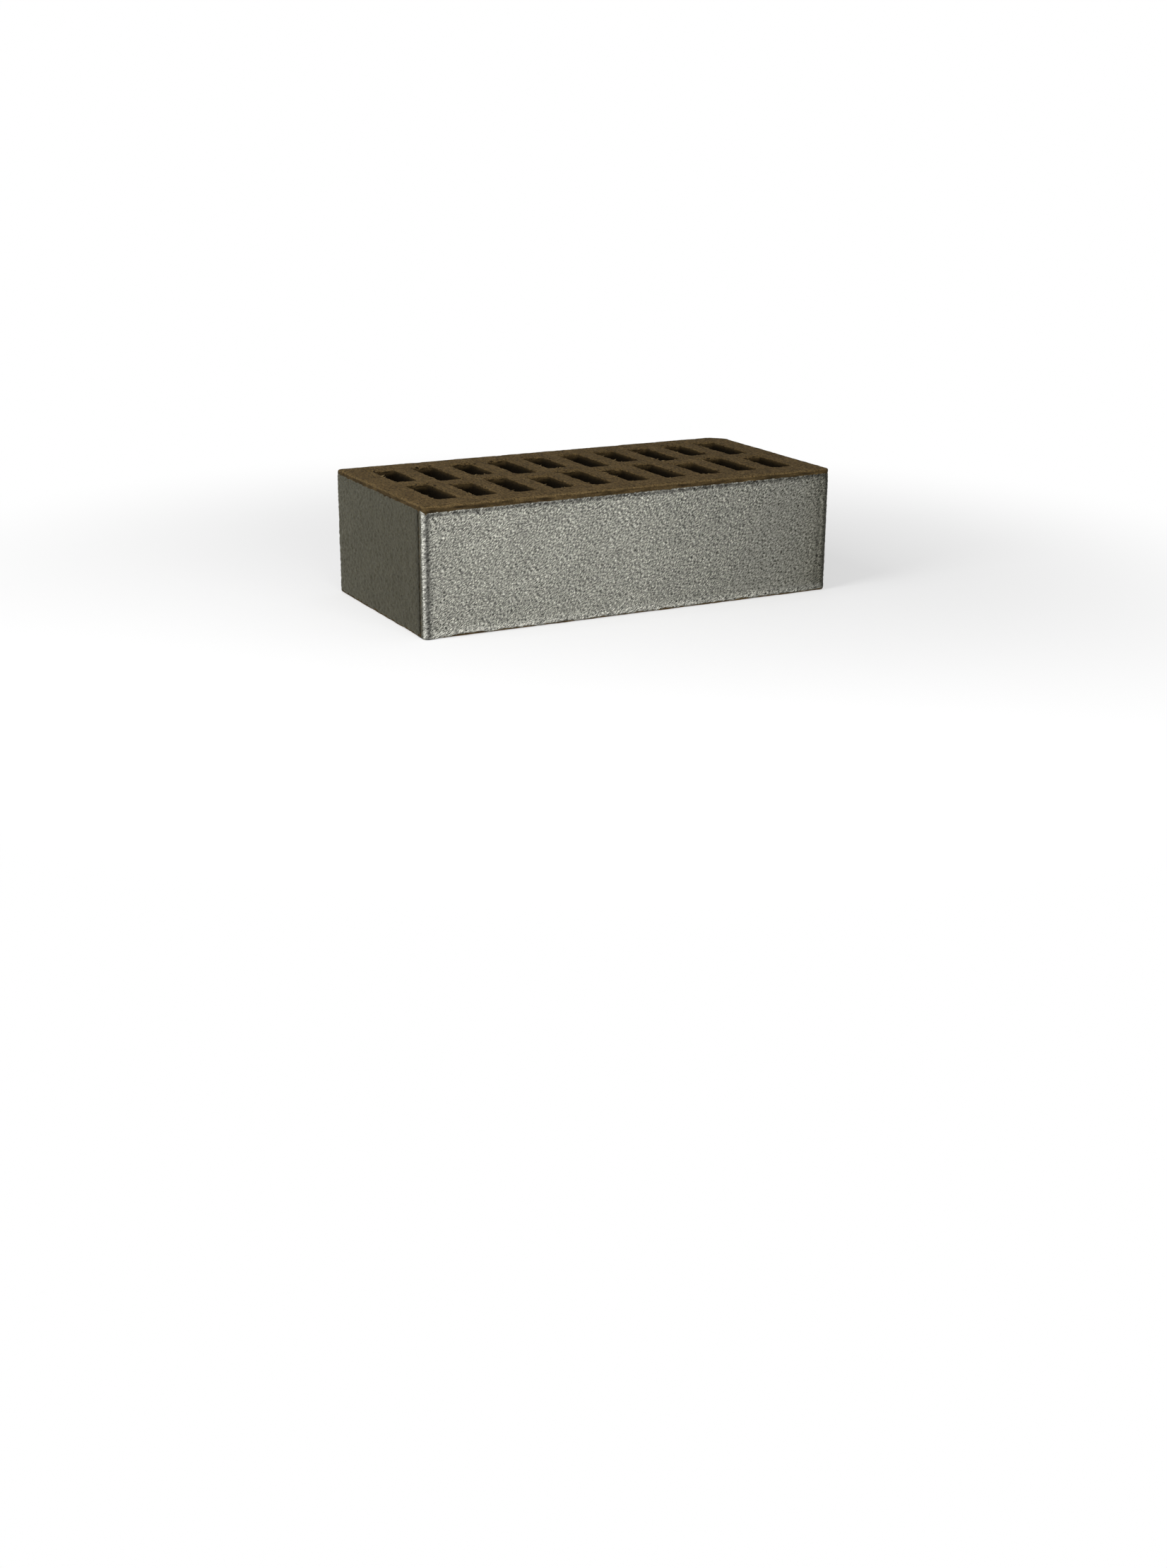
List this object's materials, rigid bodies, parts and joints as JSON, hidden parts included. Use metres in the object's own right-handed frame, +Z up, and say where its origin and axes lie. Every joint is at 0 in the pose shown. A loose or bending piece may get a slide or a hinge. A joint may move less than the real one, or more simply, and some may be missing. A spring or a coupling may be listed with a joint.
{
  "type": "clay brick",
  "caption": "Perforated clay facing brick: rectangular block with staggered upright slots, bare beds and a hammered metallic-grey glaze on its face and ends.",
  "frame": {"origin": "middle of the lower bed, on the surface that the brick lies on", "axes": "+X along the brick to its right end, +Y from the glazed front stretcher face to the back, +Z up to the upper bed"},
  "size_m": [0.25, 0.12, 0.07],
  "materials": {
    "fired_clay": "dark umber fired clay, bare on the beds, the back and in the slots",
    "metallic_glaze": "metallic-grey hammered glaze on the front stretcher face and both end faces"
  },
  "bodies": {
    "root": {"brick": "fired_clay"}
  },
  "joints": []
}
